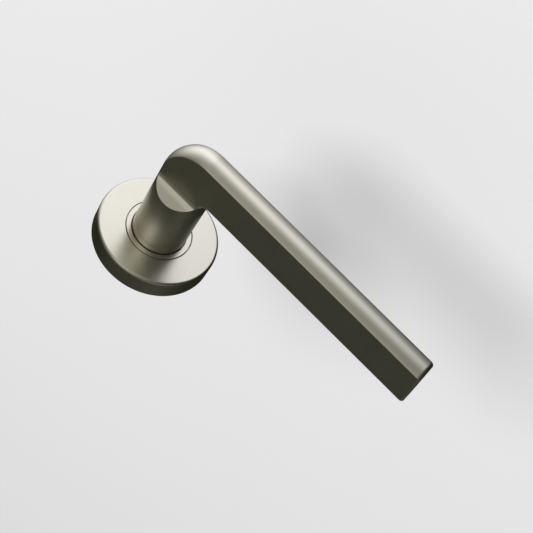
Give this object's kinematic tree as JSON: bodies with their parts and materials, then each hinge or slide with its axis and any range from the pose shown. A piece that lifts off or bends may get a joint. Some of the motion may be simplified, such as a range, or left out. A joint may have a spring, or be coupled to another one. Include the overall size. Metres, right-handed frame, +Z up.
{
  "type": "door lever handle",
  "caption": "Satin metal door lever on a round rose: an L-shaped flat-sided grip on a round neck, sprung and turning on a square spindle.",
  "frame": {"origin": "on the spindle's axis at the face of the door, the plane of the rose's back", "axes": "+Z up, +Y into the door along the spindle, -Y out of the door, the grip points along -X"},
  "size_m": [0.1427, 0.0888, 0.052],
  "materials": {
    "satin_nickel": "satin nickel plated zinc casting, fine matt grain",
    "zinc_casting": "raw zinc die casting",
    "zinc_plated_steel": "bright zinc plated steel",
    "black_steel": "black oxide alloy steel",
    "spring_steel": "oiled spring steel",
    "nylon": "natural nylon",
    "acetal": "black acetal"
  },
  "bodies": {
    "rose": {"rose_cover": "satin_nickel", "cover_snap_ring": "nylon", "base_plate": "zinc_casting", "threaded_sleeve_left": "zinc_plated_steel", "threaded_sleeve_right": "zinc_plated_steel", "bearing_bush": "nylon", "cassette_lid": "zinc_plated_steel", "collar_ring": "satin_nickel", "lid_screw_1": "zinc_plated_steel", "lid_screw_2": "zinc_plated_steel", "lid_screw_3": "zinc_plated_steel", "lid_screw_4": "zinc_plated_steel", "return_spring_upper": "spring_steel", "return_spring_lower": "spring_steel"},
    "lever": {"lever": "satin_nickel", "spindle": "zinc_plated_steel", "grub_screw": "black_steel", "rotor": "zinc_plated_steel", "circlip": "spring_steel", "wave_washer": "spring_steel", "thrust_washer": "acetal"}
  },
  "joints": [
    {"name": "lever_turn", "type": "hinge", "parent": "rose", "child": "lever", "pos_m": [0, 0, 0], "axis": [0, -1, 0], "range_deg": [0, 38], "stiffness_Nm_per_rad": 1.1, "springref_deg": -20.05, "deforming": ["return_spring_upper", "return_spring_lower"]}
  ]
}
